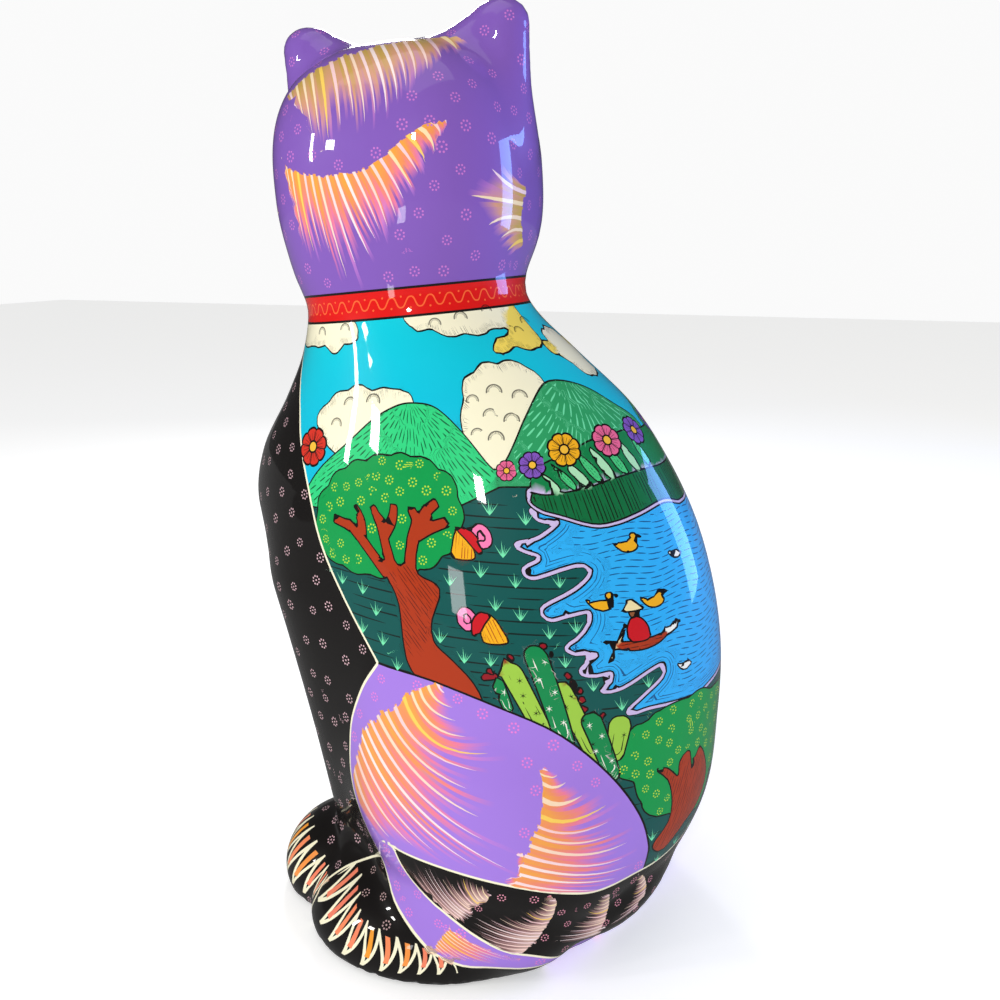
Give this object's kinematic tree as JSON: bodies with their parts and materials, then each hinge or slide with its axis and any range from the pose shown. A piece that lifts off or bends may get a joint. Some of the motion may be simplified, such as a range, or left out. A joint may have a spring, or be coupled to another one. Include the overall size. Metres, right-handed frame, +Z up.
{
  "type": "ceramic cat sculpture",
  "caption": "Seated glazed ceramic cat, head turned over its shoulder, tail curled round the base, painted all over.",
  "frame": {"origin": "on the floor, in the flat underside, below the middle of the body", "axes": "+Z up; the cat's body faces -Y, its left side is +X, and its head is turned to face -X"},
  "size_m": [0.191, 0.2257, 0.4068],
  "materials": {
    "painted_glaze": "high gloss lacquer over hand painting in violet, black, red, turquoise and green"
  },
  "bodies": {
    "root": {"ceramic_cat": "painted_glaze"}
  },
  "joints": []
}
